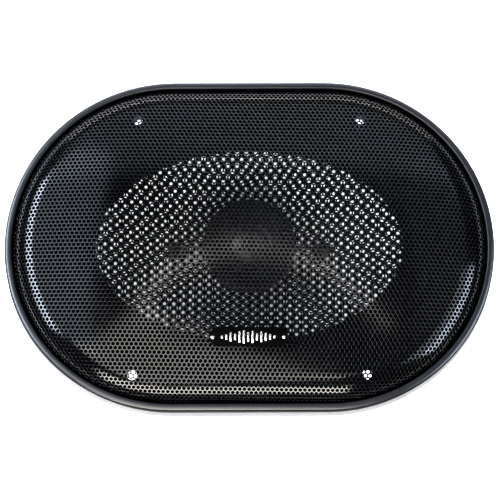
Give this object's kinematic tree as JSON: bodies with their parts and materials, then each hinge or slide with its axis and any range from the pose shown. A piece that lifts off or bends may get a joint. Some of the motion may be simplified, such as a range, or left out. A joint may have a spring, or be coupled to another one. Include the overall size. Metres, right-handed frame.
{
  "type": "coaxial car speaker",
  "caption": "Oval coaxial car speaker with domed perforated grille, woven cone, rubber surround, central tweeter pod, pressed steel basket and ring magnet motor.",
  "frame": {"origin": "centre of the magnet's back, on the surface that the speaker stands on", "axes": "+Z is the way the sound goes, out of the grille; +X is the long way of the oval; +Y completes a right-handed frame, and the terminals are on the +Y side"},
  "size_m": [0.2446, 0.1692, 0.104],
  "materials": {
    "badge_black": "gloss black with a silver motif",
    "basket_paint": "fine-grained black paint",
    "bead_plastic": "semi-gloss black",
    "black_plastic": "satin moulded black",
    "braid": "tinned copper braid",
    "bright_steel": "bright",
    "cap_sleeve": "dark blue sleeve",
    "coil_former": "thin foil",
    "copper": "enamelled copper wire",
    "ferrite": "sintered dark grey",
    "foam": "light grey closed-cell foam",
    "lead_black": "black insulation",
    "mesh_paint": "semi-gloss black powder coat",
    "phenolic": "brown phenolic sheet",
    "rubber_black": "matt black rubber",
    "silk": "coated silk",
    "solder_brass": "tinned brass",
    "spider_cloth": "resin-treated cotton",
    "spring_steel": "dull",
    "trim_board": "black fibre board",
    "woven_cone": "woven black and silver under a clear skin",
    "zinc_plate": "zinc-plated"
  },
  "bodies": {
    "frame": {"mounting_ring": "black_plastic", "foam_gasket": "foam", "basket": "basket_paint", "basket_rivets": "zinc_plate", "yoke_with_pole": "zinc_plate", "ring_magnet": "ferrite", "top_plate": "zinc_plate", "magnet_boot": "rubber_black", "centre_post": "zinc_plate", "post_nut": "zinc_plate", "surround": "rubber_black", "surround_trim": "trim_board", "spider": "spider_cloth", "tinsel_leads": "braid", "tweeter_leads": "lead_black", "terminal_board": "phenolic", "terminal_positive": "solder_brass", "terminal_negative": "solder_brass", "terminal_rivets": "solder_brass", "pod_housing": "black_plastic", "pod_bezel": "black_plastic", "tweeter_carrier": "black_plastic", "tweeter_cup": "zinc_plate", "tweeter_magnet": "bright_steel", "tweeter_plate": "zinc_plate", "tweeter_edge": "silk", "crossover_capacitor": "cap_sleeve"},
    "cone_assembly": {"cone": "woven_cone", "cone_eyelets": "solder_brass", "coil_former": "coil_former", "coil_winding": "copper"},
    "grille": {"grille_rim": "bead_plastic", "grille_mesh": "mesh_paint", "grille_retainer": "black_plastic", "badge_plate": "badge_black", "badge_pins": "bright_steel", "badge_push_nuts": "spring_steel"},
    "tweeter_diaphragm": {"tweeter_dome": "silk", "tweeter_coil": "copper"}
  },
  "joints": [
    {"name": "cone_travel", "type": "slide", "parent": "frame", "child": "cone_assembly", "axis": [0, 0, 1], "range_m": [-0.004, 0.004], "stiffness_N_per_m": 2400, "deforming": ["surround", "spider", "tinsel_leads", "tweeter_leads"]},
    {"name": "tweeter_travel", "type": "slide", "parent": "frame", "child": "tweeter_diaphragm", "axis": [0, 0, 1], "range_m": [-0.0003, 0.0003], "stiffness_N_per_m": 300, "deforming": ["tweeter_edge"]},
    {"name": "grille_lift", "type": "slide", "parent": "frame", "child": "grille", "axis": [0, 0, 1], "range_m": [0, 0.04]}
  ]
}
